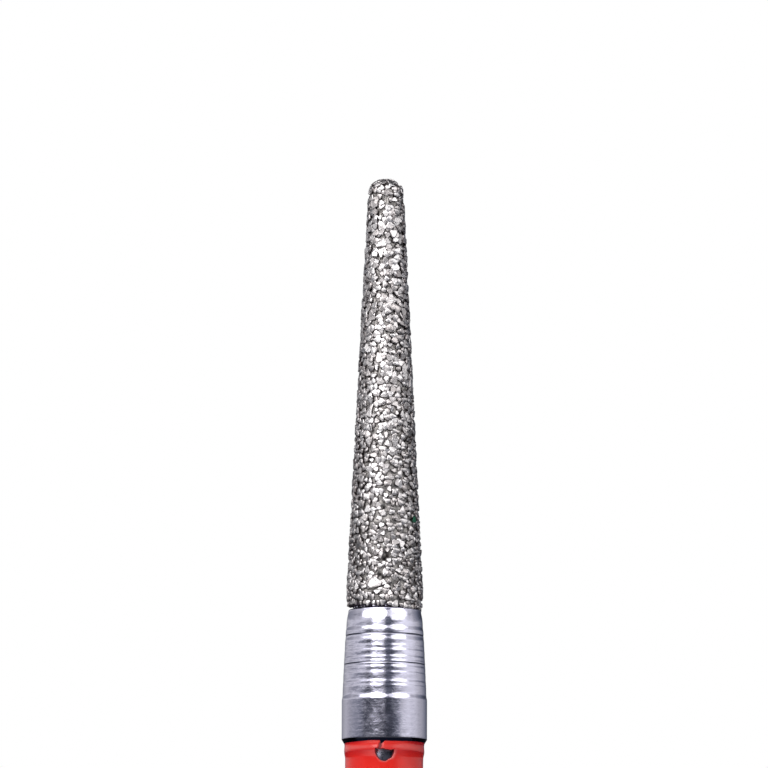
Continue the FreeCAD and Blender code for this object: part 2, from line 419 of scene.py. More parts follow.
def blank_piece(material):
    """The turned blank: filleted shank and groove, the neck's running sum, and the core to its nose."""
    low_floor = GROOVE_LOW + FLANK_LENGTH
    high_floor = GROOVE_HIGH - FLANK_LENGTH
    foot_radius = SHANK_RADIUS - END_ROUNDING
    turn = np.linspace(0, np.pi / 2, 12)
    foot = np.stack([foot_radius + END_ROUNDING * np.sin(turn), END_ROUNDING * (1 - np.cos(turn))], axis=1)
    groove = filleted([
        (SHANK_RADIUS, END_ROUNDING + 0.05),
        (SHANK_RADIUS, GROOVE_LOW),
        (GROOVE_RADIUS, low_floor),
        (GROOVE_RADIUS, high_floor),
        (SHANK_RADIUS, GROOVE_HIGH),
        (SHANK_RADIUS, LAND_TOP - 0.002),
    ], CORNER_ROUNDING, 5)
    neck = neck_line()
    shoulder = filleted([
        neck[-1],
        (neck[-1, 0], SHOULDER),
        (CORE_BASE_RADIUS, SHOULDER),
        (CORE_NOSE_RADIUS, NOSE_START),
    ], SHOULDER_ROUNDING - 0.005, 6)
    nose = nose_arc(CORE_NOSE_RADIUS, NOSE_START, CORE_NOSE_HEIGHT, 10)
    shank_and_land = np.concatenate([
        resampled(groove[groove[:, 1] < GROOVE_LOW - 0.05], 1.5),
        resampled(groove[groove[:, 1] > GROOVE_LOW - 0.05], 0.03),
    ])
    line = np.concatenate([[(0, 0), (0.3, 0)], foot, shank_and_land, neck, shoulder[1:-1], nose])
    # The darkness attribute holds the groove's stain, painted shade at the groove's edge and in the scored
    # lines, and the painted shadow under the coat
    rules = {"stain_and_shade": steel_stain_and_shade, "wear": steel_wear}
    return closed_turning("turned_blank", line, 224, tool_marks, rules, material)


def chip_depth(across, height, softness=CHIP_SOFTNESS):
    """How deep the lacquer is broken away, 0 to 1, at a place seen from -Y.

    The chip lies below the line between its top ends and above a circle's arc through those ends and
    its bottom, both made ragged by sines. The nearer of the two borders gives the depth, which goes
    from 0 to 1 over the softness.
    """
    slope = (CHIP_RIGHT[1] - CHIP_LEFT[1]) / (CHIP_RIGHT[0] - CHIP_LEFT[0])
    top = CHIP_LEFT[1] + slope * (across - CHIP_LEFT[0])
    half = (CHIP_RIGHT[0] - CHIP_LEFT[0]) / 2
    middle = (CHIP_LEFT[1] + CHIP_RIGHT[1]) / 2
    drop = middle - CHIP_BOTTOM
    ball = (half ** 2 + drop ** 2) / (2 * drop)
    ragged = 0.007 * np.sin(31 * across + 2) + 0.004 * np.sin(57 * across + 19 * height)
    below_top = top - height + ragged
    inside_arc = ball - np.hypot(across, height - (CHIP_BOTTOM + ball)) + ragged
    return smooth(0, softness, np.minimum(below_top, inside_arc))


def crack_depth(across, height):
    """1 along the line from the chip's top to the lacquer's edge, falling off steeply to its sides.

    The fall is e to the minus fourth power of the distance over the half-width.
    """
    share = np.clip((height - CRACK_FOOT[1]) / (CRACK_TOP[1] - CRACK_FOOT[1]), -0.1, 1.2)
    line = CRACK_FOOT[0] + share * (CRACK_TOP[0] - CRACK_FOOT[0]) + 0.006 * np.sin(60 * height)
    there = smooth(-0.1, 0.0, share)
    return np.exp(-((across - line) / CRACK_HALF_WIDTH) ** 4) * there


def bead_arch(share):
    """How far a bead stands up, 0 to 1, at a share of its length: a sine's rise times a cosine's fall."""
    rising = 0.10 + 0.90 * np.sin(np.pi / 2 * np.minimum(share / BEAD_RISE_END, 1))
    fallen = np.clip((share - BEAD_FALL_START) / (1 - BEAD_FALL_START), 0, 1)
    return rising * (0.5 + 0.5 * np.cos(np.pi * fallen))


def edge_creep(angle):
    """How far up the flank the lacquer's upper edge has crept: rounded peaks, and a wave.

    A peak is its height times e to the power narrowness times (cosine of the angle from it, less 1).
    """
    peak, narrow, spot = CREEPS.T[:, :, None, None]
    peaks = (peak * np.exp(narrow * (np.cos(angle - spot) - 1))).sum(axis=0)
    return 0.012 + peaks - 0.004 * np.cos(3 * angle + 0.8)


def crease_and_thin_edge_shade(angle, from_edge):
    """How dark the lacquer is, 0 to 1: in the crease below a bead, and where its edge is thin.

    The crease's darkening is painted shade, and it falls off exponentially, faster towards the edge. The
    thin edge is a bell of the distance from the edge, wider to the right and darker away from the front. It
    is partly thin lacquer over dark steel and partly painted shade.
    """
    past = from_edge - CREASE_PLACE
    # Painted shade in the crease below each bead
    foot = 0.50 * np.exp(-np.where(past > 0, past / 0.11, -past / 0.05))
    aside = smooth(0.25, 0.9, np.abs(np.angle(np.exp(1j * angle))))
    thin_reach = 0.034 + 0.036 * smooth(0.3, 0.9, np.sin(angle))
    # Darker at the thin upper edge, more so to the sides: partly thin lacquer over dark steel, partly
    # painted shade
    thin = 0.90 * (0.45 + 0.55 * aside) * bell(from_edge, 0, thin_reach)
    return np.maximum(foot, thin)


def rim_scuff_and_highlight(angle, across, height, from_edge, hole):
    """How pale and raised the lacquer is, 0 to 1: painted highlights on the chip's rim and the crests.

    The rim is the chip's own shape made larger, because each place is drawn in towards the chip's
    middle first. It is partly spalled and partly a painted highlight, stronger to the right and at its
    bottom. The crest's mark is partly scuffing and partly a painted highlight. It is a bell of the
    distance from the edge, stronger to the left.
    """
    spall = 0.16 + 0.10 * smooth(0.02, 0.14, across)
    drawn_in = (height - CHIP_MIDDLE) * 0.78 + CHIP_MIDDLE
    rim = chip_depth(across * (1 - spall), drawn_in, RIM_SOFTNESS) * (1 - hole) * (np.cos(angle) > 0)
    # Stronger to the right and at the bottom: a painted highlight on the rim
    rim = rim * (0.12 + 0.40 * smooth(10.66, 10.58, height) + 0.70 * smooth(0.05, 0.15, across))
    # Paler crest: partly scuffing, partly a painted highlight
    scuff_and_highlight = 0.26 * bell(from_edge, SCUFF_AND_HIGHLIGHT_PLACE, 0.028) * (0.62 - 0.38 * np.sin(angle))
    return np.minimum(np.maximum(rim, scuff_and_highlight * (1 - hole)), 1)


def lacquer_piece(sizes, material):
    """The lacquer ring, a closed grid of section point by angle.

    Its outer radius is a film with a sag, plus a bead against each flank, plus waves round the ring.
    Its upper edge creeps up the flank, and its radius follows the flank there. The chip takes it down
    past the groove's floor, the crack takes a little, and the rim, painted pale as a highlight, stands
    up. The section closes under the steel's surface.
    """
    film = sizes.film_radius / MM
    crest = sizes.bead_radius / MM
    slope = (SHANK_RADIUS - GROOVE_RADIUS) / FLANK_LENGTH
    edge = crest - EDGE_DROP
    low_edge = GROOVE_LOW + FLANK_LENGTH - (edge - GROOVE_RADIUS) / slope
    high_edge = GROOVE_HIGH - FLANK_LENGTH + (edge - GROOVE_RADIUS) / slope
    bead = sizes.bead_length / MM
    coarse = np.linspace(low_edge, 10.50, 56)
    fine = np.linspace(10.50, high_edge, 60)
    rest = np.concatenate([coarse, fine[1:]])
    front = np.linspace(-FINE_TURN, FINE_TURN, 110)
    back = np.linspace(FINE_TURN, 2 * np.pi - FINE_TURN, 150)
    angle = np.concatenate([front, back[1:-1]])[None, :]
    height = rest[:, None]

    from_edge = np.minimum(height - low_edge, high_edge - height)
    arch = (crest - film) * bead_arch(np.clip(from_edge / bead, 0, 1))
    sag = 0.004 * np.sin(np.pi * (height - low_edge) / (high_edge - low_edge))
    wave = 0.0025 * np.sin(3 * angle + 0.7) + 0.0015 * np.sin(7 * angle + 9 * height)
    radius = film + arch - sag + wave * smooth(0, 0.1, from_edge)

    creep = edge_creep(angle)
    near_edge = smooth(high_edge - CREEP_REACH, high_edge, height)
    height = height + creep * near_edge
    radius = radius + slope * creep * near_edge ** 4

    across = radius * np.sin(angle)
    facing = np.cos(angle) > 0
    hole = chip_depth(across, height) * facing
    rim = rim_scuff_and_highlight(angle, across, height, from_edge, hole)
    crack = crack_depth(across, height) * facing * (1 - hole)
    radius = radius + 0.003 * rim * smooth(0, 0.04, from_edge) - 0.016 * crack
    radius = radius * (1 - hole) + (GROOVE_RADIUS - 0.012) * hole

    share = np.linspace(0, 1, 12)[:, None]
    inner_height = (high_edge + creep) * (1 - share) + low_edge * share
    under = np.minimum(inner_height - GROOVE_LOW, GROOVE_HIGH - inner_height)
    inner_radius = SHANK_RADIUS - slope * np.minimum(under, FLANK_LENGTH) - 0.020
    points = np.concatenate([
        around(radius, angle, height),
        around(inner_radius, angle, inner_height),
    ]).reshape(-1, 3)
    rows = len(rest) + len(share)
    columns = angle.shape[1]
    quads = ring_faces(rows, columns)
    row_start = (rows - 1) * columns
    here = np.arange(columns)
    right = (here + 1) % columns
    closing = np.stack([row_start + here, row_start + right, right, here], axis=-1)
    hidden = np.zeros(inner_radius.size)
    attributes = {
        # Painted shade in the crack, and darkness over the chip's broken walls
        "cut": np.concatenate([np.maximum(0.95 * crack, smooth(0.02, 0.5, hole)).ravel(), hidden]),
        # Painted shade in the crease, and partly at the thin edge
        "crease": np.concatenate([crease_and_thin_edge_shade(angle, from_edge).ravel(), hidden]),
        # Painted highlight on the chip's rim and the crests, partly spall and scuffing
        "rim": np.concatenate([(rim * (1 - crack)).ravel(), hidden]),
    }
    faces = [np.concatenate([quads, closing])]
    return mesh_piece("lacquer_ring", points, faces, True, attributes, material)


def bond_piece(sizes, dice, material):
    """The plated nickel between the grains: the head's outline, sunk, with lumps from crossing waves.

    A socket is a hollow in it, e to the minus fourth power of the distance over the half-width, and darker.
    Four rings under the coat's edge close it against the core.
    """
    sink = sizes.stand_out / MM
    line = resampled(head_line(sink), 0.035)
    columns = 160
    angle = np.arange(columns)[None, :] * 2 * np.pi / columns
    radius, height = line[:-1].T[:, :, None]
    lump = 0 * (angle + height)
    # Length and depth of the waves in mm, three of each running their own way over the head
    for length, depth in ((0.23, 0.010), (0.16, 0.010), (0.11, 0.008), (0.09, 0.006)):
        heading = dice.uniform(0, 2 * np.pi, 3)
        start = dice.uniform(0, 2 * np.pi, 3)
        for way, phase in zip(heading, start):
            turns = np.round(2 * np.pi * 0.55 / length * np.cos(way))
            climb = 2 * np.pi / length * np.sin(way)
            lump = lump + depth / 3 * np.sin(turns * angle + climb * height + phase)
    lifted = height + edge_lift(angle, height)
    skin = radius + lump - 0.045 * (1 - smooth(SHOULDER, SHOULDER + 0.10, height))
    socket = np.exp(-(to_sockets(around(skin, angle, lifted)) / SOCKETS[:, 2]) ** 4).max(axis=-1)
    shell = around(skin - SOCKET_DEPTH * socket, angle, lifted)
    outer = HEAD_RADIUS - sink
    under = [
        around(reach + 0 * angle, angle, edge_height(angle) + rise)
        for reach, rise in (
            (0.30, 0.05),
            (CORE_BASE_RADIUS - 0.02, 0.03),
            (outer - 0.070, 0.001),
            (outer - 0.055, -0.002),
        )
    ]
    grid = np.concatenate([*under, shell])
    poles = np.array([(0, 0, SHOULDER + 0.10), (0, 0, line[-1, 1])])
    points = np.concatenate([grid.reshape(-1, 3), poles])
    soil_and_shade = np.concatenate([np.zeros(len(under) * columns), socket.ravel(), np.zeros(2)])
    faces = turned_faces(len(grid), columns)
    return mesh_piece("nickel_bond", points, faces, True, {"soil_and_shade": soil_and_shade}, material)


def to_sockets(points):
    """The distance over the surface from each point, in mm, to each socket's middle."""
    turn, height = SOCKETS.T[:2]
    away = np.arctan2(points[..., 0], -points[..., 1])[..., None] - np.radians(turn)
    across = np.hypot(points[..., 0], points[..., 1])[..., None] * np.angle(np.exp(1j * away))
    return np.hypot(across, points[..., 2, None] - height)


def grain_places(pitch, dice):
    """Where each grain sits: angle, height and radius on the head's outline, and its outward normal.

    Rows of grains run round the head, a hexagonal packing's row height apart along the outline, with
    as many grains as fit. Each grain is then shifted at random by part of the pitch.
    """
    line = resampled(head_line(0), 0.02)
    run = np.concatenate([[0], np.cumsum(np.linalg.norm(np.diff(line, axis=0), axis=1))])
    rows = np.arange(0.26 * pitch, run[-1], pitch * np.sqrt(3) / 2)
    count = np.maximum(1, np.round(2 * np.pi * np.interp(rows, run, line[:, 0]) / pitch)).astype(int)
    row = np.repeat(np.arange(len(rows)), count)
    place = np.arange(count.sum()) - (np.cumsum(count) - count)[row]
    shift = dice.uniform(-0.42, 0.42, (2, len(row)))
    angle = 2 * np.pi * (place + 0.5 * (row % 2) + shift[0]) / count[row]
    along = np.clip(rows[row] + pitch * shift[1] * (row > 0), 0, run[-1])
    radius = np.interp(along, run, line[:, 0])
    height = np.interp(along, run, line[:, 1])
    step = 0.01
    forward = np.stack([
        np.interp(along + step, run, line[:, 0]) - np.interp(along - step, run, line[:, 0]),
        np.interp(along + step, run, line[:, 1]) - np.interp(along - step, run, line[:, 1]),
    ])
    forward = forward / np.linalg.norm(forward, axis=0)
    normal = around(forward[1], angle, -forward[0])
    return angle, around(radius, angle, height + edge_lift(angle, height)), normal


def grain_piece(sizes, dice, material):
    """The diamond grains, each a cut crystal of 24 points and 20 faces.

    A grain's plan is a hexagon with three long and three short sides, stretched and turned at random.
    Four rings of it stand above each other: a foot inside the bond, a girdle, a shoulder and a smaller
    flat top, and the shoulder and top lean at random. Grains on the nose are smaller and flatter, and
    those at the coat's lower edge are drawn in. Each named grain takes the nearest grain's place, with
    its own size and lean. Grains too near to one of them, or over a socket, are left out.
    """
    pitch = sizes.pitch / MM
    angle, centre, normal = grain_places(pitch, dice)
    # 1 at the coat's lower edge, and 0 from 7 mm above it
    low_down = 1 - smooth(SHOULDER, SHOULDER + 7.0, centre[:, 2])
    scale = pitch * (0.46 + 0.32 * dice.uniform(0, 1, len(angle)) ** 1.3)
    scale = scale * (1.16 - 0.20 * low_down)
    lean_by = np.radians(sizes.lean) * dice.uniform(0, 1, len(angle)) ** 1.8
    lean_by = lean_by * (0.65 + 0.35 * low_down)
    lean_to = dice.uniform(0, 2 * np.pi, len(angle))
    nose = smooth(NOSE_START - 0.30, NOSE_START - 0.05, centre[:, 2])
    scale = scale * (1 - 0.26 * nose)
    lean_by = lean_by * (1 - 0.6 * nose)
    tint = dice.uniform(0, 1, len(angle))
    stretch = dice.uniform(0.78, 1.22, len(angle))
    worn = dice.random(len(angle)) < sizes.worn_share * (0.55 + 0.45 * low_down)
    green = np.zeros(len(angle))

    turn, radius, height, half_width, longer, leaning, is_green = NAMED_GRAINS.T
    spots = around(radius, np.radians(turn), height)
    gap = np.linalg.norm(centre[:, None, :] - spots[None, :, :], axis=2)
    named = np.argmin(gap, axis=0)
    keep = (gap > 0.015 + 0.60 * half_width).all(axis=1)
    keep &= (to_sockets(centre) > 0.03 + SOCKETS[:, 2]).all(axis=1)
    keep[named] = True
    named_kept = (np.cumsum(keep) - 1)[named]
    centre[named] = spots
    scale[named] = half_width
    stretch[named] = longer
    lean_by[named] = np.radians(leaning)
    lean_to[named] = -np.pi / 4
    worn[named] = False
    green[named] = is_green
    centre, normal, scale, stretch = centre[keep], normal[keep], scale[keep], stretch[keep]
    lean_by, lean_to, low_down = lean_by[keep], lean_to[keep], low_down[keep]
    tint, green, worn, nose = tint[keep], green[keep], worn[keep], nose[keep]

    up = np.array([0.0, 0.0, 1.0])
    above_edge = centre[:, 2] - edge_height(np.arctan2(centre[:, 0], -centre[:, 1]))
    centre = centre - 0.030 * (1 - smooth(0.02, 0.16, above_edge))[:, None] * normal
    side = np.cross(up, normal)
    side = np.where(np.linalg.norm(side, axis=1, keepdims=True) < 0.05, np.array([1.0, 0, 0]), side)
    side = side / np.linalg.norm(side, axis=1, keepdims=True)
    rise = np.cross(normal, side)

    corner = np.arange(6)
    turn = dice.uniform(0, 2 * np.pi, (len(scale), 1))
    spread = np.radians(13) * (-1.0) ** corner
    plan = turn + corner * np.pi / 3 + spread
    ragged = 1 + dice.uniform(-0.12, 0.12, (len(scale), 6))
    x = np.cos(plan) * ragged * stretch[:, None]
    y = np.sin(plan) * ragged / stretch[:, None]
    ring_size, depth, lean_share = GRAIN_RINGS.T[:, None, :, None]
    stand = sizes.stand_out / MM
    top = stand * dice.uniform(-0.45, 0.22, (len(scale), 1, 1))
    top[named_kept] = 0.20 * stand
    wider = dice.uniform(-0.22, 0.16, len(scale)) + 0.06 * (1 - low_down)
    top_size = 1 + wider[:, None, None] * np.array([0, 0, 0.6, 1])[None, :, None]
    flat = ring_size * top_size * scale[:, None, None]
    across = flat * x[:, None, :]
    along = flat * y[:, None, :]
    towards = lean_to[:, None, None]
    lean = np.cos(towards) * across + np.sin(towards) * along
    lean = lean_share * np.tan(lean_by)[:, None, None] * lean
    out = top - stand * 2.1 * depth + lean
    out = np.minimum(out, stand * (0.30 - 0.22 * nose[:, None, None]))
    points = (
        centre[:, None, None, :]
        + across[..., None] * side[:, None, None, :]
        + along[..., None] * rise[:, None, None, :]
        + out[..., None] * normal[:, None, None, :]
    ).reshape(-1, 3)
    first = GRAIN_POINTS * np.arange(len(scale))[:, None, None]
    right = (corner + 1) % 6
    walls = [
        np.stack([level + corner, level + right, level + 6 + right, level + 6 + corner], axis=-1)
        for level in (0, 6, 12)
    ]
    quads = (first + np.concatenate(walls)[None]).reshape(-1, 4)
    caps = (first[:, :, 0][:, None, :] + np.stack([corner[::-1], 18 + corner])[None]).reshape(-1, 6)
    # Darker tops at random, more towards the coat's lower edge as painted shade, and none on the nose
    on_top = (0.06 + 0.22 * low_down) * (1 - nose) * dice.uniform(0, 1, len(scale))
    # Painted shade on the grains' rims, less towards the lower edge and much less on the nose
    rim_shade = 0.66 - 0.24 * low_down - 0.46 * nose
    # Feet and girdles fully darkened: painted shade between the grains
    below = np.ones(len(scale))
    soil_and_shade = np.stack([below, below, rim_shade + (1 - rim_shade) * on_top, on_top], axis=1)
    attributes = {
        "tint": np.repeat(tint, GRAIN_POINTS),
        "green": np.repeat(green, GRAIN_POINTS),
        "soil_and_shade": np.repeat(soil_and_shade.ravel(), 6),
    }
    rounded = np.concatenate([np.repeat(worn, 18), np.repeat(worn, 2)])
    return mesh_piece("diamond_grains", points, [quads, caps], rounded, attributes, material)


def node(tree, kind, inputs=None, **settings):
    """A new shader node. inputs maps a socket to a value, or to another node's output to link from."""
    made = tree.nodes.new(kind)
    for name, value in settings.items():
        setattr(made, name, value)
    for socket, value in (inputs or {}).items():
        if isinstance(value, bpy.types.NodeSocket):
            tree.links.new(value, made.inputs[socket])
        else:
            made.inputs[socket].default_value = value
    return made


def new_material(name):
    """An empty node material, and its tree."""
    material = bpy.data.materials.new(name)
    material.use_nodes = True
    material.node_tree.nodes.clear()
    return material, material.node_tree


def turned_stainless(finish):
    """Hardened stainless steel, turned and polished on a lathe.

    Its marks run round the part, so a highlight is drawn out a little along the axis and sparkles
    across it. Handling has left hazy scuffs on the land. The groove is stained blue-black, and this
    is also painted shade on its flank and on the land's lower edge. The scored lines hold painted
    shade, a band under the coat is a painted shadow, and a spot in the chip is a lighter painted glint.
    """
    material, tree = new_material("turned_stainless_steel")
    place = node(tree, "ShaderNodeTexCoord").outputs["Object"]
    # Darkness from the blank: the groove's stain, with painted shade and the painted shadow under the coat
    stain_and_shade = node(tree, "ShaderNodeAttribute", attribute_name="stain_and_shade").outputs["Fac"]
    # Turning marks, really about 0.02 mm apart up the axis and drawn at 0.045 mm so that they show, each
    # as long as a good part of a turn
    drawn_out = node(tree, "ShaderNodeMapping", {"Vector": place, "Scale": (0.06, 0.06, 1.0)})
    marks = node(tree, "ShaderNodeTexNoise", {
        "Vector": drawn_out.outputs["Vector"], "Scale": 1 / (0.045 * MM), "Detail": 2.0, "Roughness": 0.6,
    })
    # Polishing specks, really about 0.05 mm across and drawn at 0.075 mm so that they show
    specks = node(tree, "ShaderNodeTexNoise", {
        "Vector": place, "Scale": 1 / (0.075 * MM), "Detail": 2.0, "Roughness": 0.65,
    })
    height = node(tree, "ShaderNodeMath", {
        0: marks.outputs["Fac"], 1: 0.45, 2: specks.outputs["Fac"],
    }, operation="MULTIPLY_ADD")
    bump = node(tree, "ShaderNodeBump", {
        "Height": height.outputs["Value"], "Strength": 1.0, "Distance": 0.0018 * MM,
    })
    # Scuffed spots about 0.14 mm across, hazier than the polish between them
    wear = node(tree, "ShaderNodeAttribute", attribute_name="wear").outputs["Fac"]
    blots = node(tree, "ShaderNodeTexNoise", {
        "Vector": place, "Scale": 1 / (0.14 * MM), "Detail": 2.0, "Roughness": 0.55,
    })
    scuffs = node(tree, "ShaderNodeMapRange", {0: blots.outputs["Fac"], 1: 0.42, 2: 0.68, 3: 0.0, 4: 0.09})
    roughness = node(tree, "ShaderNodeMath", {
        0: scuffs.outputs[0], 1: wear, 2: finish.steel_roughness,
    }, operation="MULTIPLY_ADD")
    # Mixes towards the stain colour, which also paints shade and the shadow under the coat
    colour = node(tree, "ShaderNodeMix", {
        0: stain_and_shade, 6: tuple(finish.steel), 7: tuple(finish.stain_and_shade),
    }, data_type="RGBA")
    shader = node(tree, "ShaderNodeBsdfPrincipled", {
        "Base Color": colour.outputs[2], "Metallic": 1.0, "Roughness": roughness.outputs[0],
        "Normal": bump.outputs["Normal"],
    })
    node(tree, "ShaderNodeOutputMaterial", {"Surface": shader.outputs["BSDF"]})
    return material


def red_lacquer(finish):
    """Opaque red baked lacquer, brushed into the groove as the size and grit code's ring.

    It is glossy and evenly coloured. It is darker in the crease along a bead, as painted shade, and
    where its edge is thin over the stained steel, which is partly painted shade. It is paler on the
    crests, partly scuffed and partly a painted highlight, and on the chip's rim, partly spalled and
    partly a painted highlight. Where it is cut through it is dark and dull, and in the crack that
    darkness is painted shade.
    """
    material, tree = new_material("red_baked_lacquer")
    cut = node(tree, "ShaderNodeAttribute", attribute_name="cut").outputs["Fac"]
    crease = node(tree, "ShaderNodeAttribute", attribute_name="crease").outputs["Fac"]
    rim = node(tree, "ShaderNodeAttribute", attribute_name="rim").outputs["Fac"]
    # Paler: painted highlight on the chip's rim and the crests, partly spall and scuffing
    paler = node(tree, "ShaderNodeMath", {0: rim, 1: 0.60}, operation="MULTIPLY")
    # Painted shade in the crease, and partly at the thin edge
    darker = node(tree, "ShaderNodeMath", {0: crease, 1: 0.85}, operation="MULTIPLY")
    with_rim = node(tree, "ShaderNodeMix", {
        0: paler.outputs["Value"], 6: tuple(finish.lacquer), 7: linear("#F4A8A4"),
    }, data_type="RGBA")
    with_crease = node(tree, "ShaderNodeMix", {
        0: darker.outputs["Value"], 6: with_rim.outputs[2], 7: linear("#840626"),
    }, data_type="RGBA")
    # Dark and dull where cut: in the crack this darkness is painted shade, and the chip's broken walls are
    # darkened too
    with_cut = node(tree, "ShaderNodeMix", {
        0: cut, 6: with_crease.outputs[2], 7: linear("#54101A"),
    }, data_type="RGBA")
    dull = node(tree, "ShaderNodeMath", {0: cut, 1: 0.45, 2: 0.15}, operation="MULTIPLY_ADD")
    shader = node(tree, "ShaderNodeBsdfPrincipled", {
        "Base Color": with_cut.outputs[2], "Roughness": dull.outputs["Value"], "IOR": 1.58,
    })
    node(tree, "ShaderNodeOutputMaterial", {"Surface": shader.outputs["BSDF"]})
    return material


def plated_nickel(finish):
    """Electroplated nickel that holds the grit: dull grey metal, lumpy, and darker in its sockets."""
    material, tree = new_material("plated_nickel_bond")
    place = node(tree, "ShaderNodeTexCoord").outputs["Object"]
    # Nodules of the plating, about 0.04 mm across
    lumps = node(tree, "ShaderNodeTexNoise", {"Vector": place, "Scale": 1 / (0.04 * MM), "Detail": 2.0})
    bump = node(tree, "ShaderNodeBump", {
        "Height": lumps.outputs["Fac"], "Strength": 0.8, "Distance": 0.010 * MM,
    })
    # Darker in the sockets
    soil_and_shade = node(tree, "ShaderNodeAttribute", attribute_name="soil_and_shade").outputs["Fac"]
    darkened = node(tree, "ShaderNodeMix", {
        0: soil_and_shade, 6: tuple(finish.nickel), 7: linear("#1E1A1B"),
    }, data_type="RGBA")
    shader = node(tree, "ShaderNodeBsdfPrincipled", {
        "Base Color": darkened.outputs[2], "Metallic": 1.0, "Roughness": 0.40,
        "Normal": bump.outputs["Normal"],
    })
    node(tree, "ShaderNodeOutputMaterial", {"Surface": shader.outputs["BSDF"]})
    return material


def diamond_grit(finish):
    """Industrial diamond grains under a thin wash of plated nickel, so they shine as a pale metal does.

    Their flat tops flash white where they face a light. Their feet and rims are darkened as painted shade
    between the grains, so each grain stands out from the next. Their tops are darkened at random, more
    towards the coat's lower edge as painted shade, and not on the nose. One grain is green.
    """
    material, tree = new_material("nickel_washed_diamond")
    place = node(tree, "ShaderNodeTexCoord").outputs["Object"]
    tint = node(tree, "ShaderNodeAttribute", attribute_name="tint").outputs["Fac"]
    green = node(tree, "ShaderNodeAttribute", attribute_name="green").outputs["Fac"]
    shades = node(tree, "ShaderNodeValToRGB", {"Fac": tint})
    shades.color_ramp.elements[0].color = tuple(finish.grain_dark)
    shades.color_ramp.elements[1].color = tuple(finish.grain_light)
    colour = node(tree, "ShaderNodeMix", {
        0: green, 6: shades.outputs["Color"], 7: linear("#2A8062"),
    }, data_type="RGBA")
    # Painted shade at the grains' feet and rims, and darker tops
    soil_and_shade = node(tree, "ShaderNodeAttribute", attribute_name="soil_and_shade").outputs["Fac"]
    darkened = node(tree, "ShaderNodeMix", {
        0: soil_and_shade, 6: colour.outputs[2], 7: linear("#443B3D"),
    }, data_type="RGBA")
    # Growth steps on the faces, about 0.035 mm wide
    steps = node(tree, "ShaderNodeTexNoise", {"Vector": place, "Scale": 1 / (0.035 * MM), "Detail": 1.0})
    bump = node(tree, "ShaderNodeBump", {
        "Height": steps.outputs["Fac"], "Strength": 0.4, "Distance": 0.010 * MM,
    })
    shader = node(tree, "ShaderNodeBsdfPrincipled", {
        "Base Color": darkened.outputs[2], "Metallic": 1.0, "Roughness": 0.34,
        "Normal": bump.outputs["Normal"],
    })
    node(tree, "ShaderNodeOutputMaterial", {"Surface": shader.outputs["BSDF"]})
    return material


def painted_floor(colour):
    """Matt pale paint, as on a studio table."""
    material, tree = new_material("matt_pale_paint")
    shader = node(tree, "ShaderNodeBsdfPrincipled", {"Base Color": tuple(colour), "Roughness": 0.9})
    node(tree, "ShaderNodeOutputMaterial", {"Surface": shader.outputs["BSDF"]})
    return material


def lit_cards():
    """The studio's cards and soft lights as metal sees them: each point shines at its own level."""
    material, tree = new_material("studio_cards")
    level = node(tree, "ShaderNodeAttribute", attribute_name="level").outputs["Fac"]
    # The dark cards are blue-grey, and the lit ones white
    shade = node(tree, "ShaderNodeMapRange", {0: level, 1: 0.0, 2: 0.5})
    tone = node(tree, "ShaderNodeMix", {
        0: shade.outputs[0], 6: linear("#D2E0FF"), 7: (1.0, 1.0, 1.0, 1.0),
    }, data_type="RGBA")
    shine = node(tree, "ShaderNodeEmission", {"Color": tone.outputs[2], "Strength": level})
    node(tree, "ShaderNodeOutputMaterial", {"Surface": shine.outputs["Emission"]})
    return material


def studio_level(turn, rise):
    """Brightness of the studio in a direction from the bur, in degrees from the camera and upwards.

    Low down it is a row of cards round the bur, blended from one to the next, and just above them a
    wall, blended in the same way and dark just right of the camera. Beside its arched top, and
    higher up at its far sides, the wall is dimmed. In front of it hang a left
    and a right soft light, each with a wide one above it and a dark gap between the two. Over all
    hang top lights, as bells of the turn that fade straight overhead, and below the bur the floor
    sheet shines in two bells of the turn.
    """
    cards = np.interp(turn, *CARDS.T)
    wall = np.interp(turn, *WALL.T)
    wall_top = 7.0 + 19 * np.cos(np.radians(turn) / 2)
    beside = 0.90 * smooth(-2, 5, rise - wall_top) * smooth(55, 80, np.abs(turn))
    for dimmed, bottom, top, near, far in ((0.35, 8.5, 13, 62, 86), (0.50, 7.5, 10, 84, 108)):
        side = dimmed * smooth(bottom, top, rise) * smooth(near, far, np.abs(turn + 5))
        beside = np.maximum(beside, side)
    left_light = soft_light(turn, rise - 0.16 * (turn + 18), (-19, 21), (20, 10))
    left_wide = soft_light(turn, rise, (-34, 26), (42, 8))
    right_light = soft_light(turn, rise, (42, 19), (23, 9))
    right_wide = soft_light(turn, rise, (45, 25), (34, 6))
    lights = 2.4 * np.maximum(left_light, 0.9 * left_wide)
    lights = lights + 1.5 * np.maximum(right_light, 0.7 * right_wide)
    levels = wall * (1 - beside) + lights
    overhead = 0.04 + 4.2 * bell(turn, -30, 34) + 0.9 * bell(turn, 42, 22)
    overhead = overhead + 0.6 * soft_light(turn, rise, (-108, 54), (24, 10))
    overhead = overhead * (1 - 0.9 * smooth(58, 74, rise))
    high = smooth(27, 33, rise)
    above = smooth(6.0, 7.2, rise - 1.5 * bell(turn, -46, 9))
    aside = smooth(50, 80, np.abs(turn))
    below = smooth(0.5 - 3.0 * aside, 6.5 - 5.0 * aside, -rise)
    low = 0.03 + 1.15 * bell(turn, -28, 34) + 0.25 * bell(turn, 46, 22)
    level = cards * (1 - above) + levels * above * (1 - high) + overhead * high
    return level * (1 - below) + low * below


def soft_light(turn, rise, middle, reach):
    """1 inside a rounded window and 0 outside it.

    The sum of the two distances from its middle, each over its reach and to the power 3, passes 1 at
    the window's edge.
    """
    away = np.abs((turn - middle[0]) / reach[0]) ** 3 + np.abs((rise - middle[1]) / reach[1]) ** 3
    return 1 - smooth(0.80, 1.20, away)


